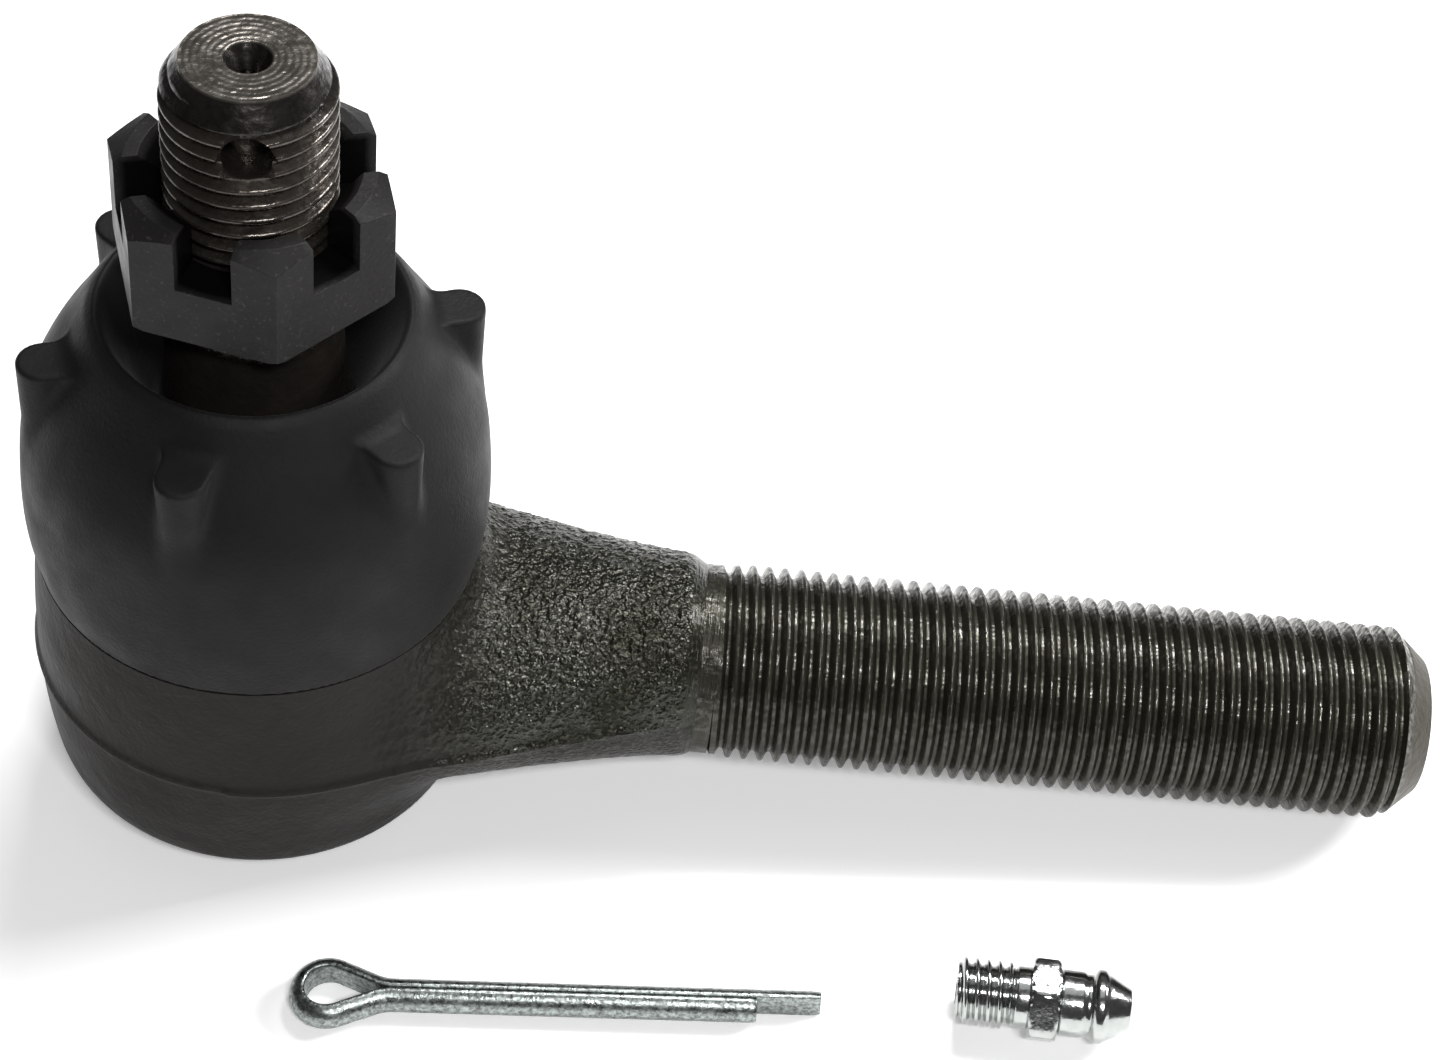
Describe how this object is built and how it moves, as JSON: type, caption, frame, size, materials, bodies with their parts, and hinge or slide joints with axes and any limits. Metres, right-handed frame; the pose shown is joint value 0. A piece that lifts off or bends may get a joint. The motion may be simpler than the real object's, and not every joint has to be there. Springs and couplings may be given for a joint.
{
  "type": "tie rod end",
  "caption": "Steering tie rod end: ball stud with castle nut in a forged, threaded housing under a ribbed dust boot, with a loose cotter pin and grease fitting.",
  "frame": {"origin": "centre of the ball, on the axis of the threaded shank", "axes": "+X along the shank towards its threaded end, +Z along the stud towards its threaded end, -Y is the front"},
  "size_m": [0.1277, 0.0548, 0.0808],
  "materials": {
    "forged_steel": "as-forged, oiled",
    "liner_plastic": "satin",
    "seat_plastic": "satin",
    "spring_steel": "satin",
    "plate_steel": "phosphated",
    "stud_steel": "machined, oiled",
    "black_nut": "black oxide, satin",
    "boot_rubber": "matte",
    "zinc_wire": "bright zinc",
    "bright_zinc": "bright zinc",
    "ball_steel": "polished"
  },
  "bodies": {
    "socket": {"housing": "forged_steel", "pressure_seat": "seat_plastic", "disc_spring": "spring_steel", "cover_plate": "plate_steel", "dust_boot": "boot_rubber", "boot_base_band": "spring_steel"},
    "liner": {"ball_liner": "liner_plastic"},
    "garter": {"garter_ring": "spring_steel"},
    "stud": {"ball_stud": "stud_steel"},
    "nut": {"castle_nut": "black_nut"},
    "pin": {"cotter_pin": "zinc_wire"},
    "fitting": {"fitting_body": "bright_zinc", "fitting_spring": "spring_steel"},
    "check_ball": {"fitting_ball": "ball_steel"}
  },
  "joints": [
    {"name": "swing_fore_aft", "type": "hinge", "parent": "socket", "child": "liner", "pos_m": [0, 0, 0], "axis": [0, 1, 0], "range_deg": [-14, 14], "deforming": ["dust_boot"]},
    {"name": "swing_side", "type": "hinge", "parent": "liner", "child": "garter", "pos_m": [0, 0, 0], "axis": [1, 0, 0], "range_deg": [-14, 14], "deforming": ["dust_boot"]},
    {"name": "stud_turn", "type": "hinge", "parent": "garter", "child": "stud", "pos_m": [0, 0, 0], "axis": [0, 0, 1], "continuous": true},
    {"name": "nut_run_off", "type": "slide", "parent": "stud", "child": "nut", "axis": [0, 0, 1], "range_m": [0, 0.024]},
    {"name": "pin_lift", "type": "slide", "parent": "socket", "child": "pin", "axis": [-0.0666, 0, 0.9978], "range_m": [0, 0.04]},
    {"name": "fitting_lift", "type": "slide", "parent": "socket", "child": "fitting", "axis": [-0.0666, 0, 0.9978], "range_m": [0, 0.04]},
    {"name": "check_ball_press", "type": "slide", "parent": "fitting", "child": "check_ball", "axis": [-0.9943, 0.0837, -0.0664], "range_m": [0, 0.0005], "stiffness_N_per_m": 200}
  ]
}
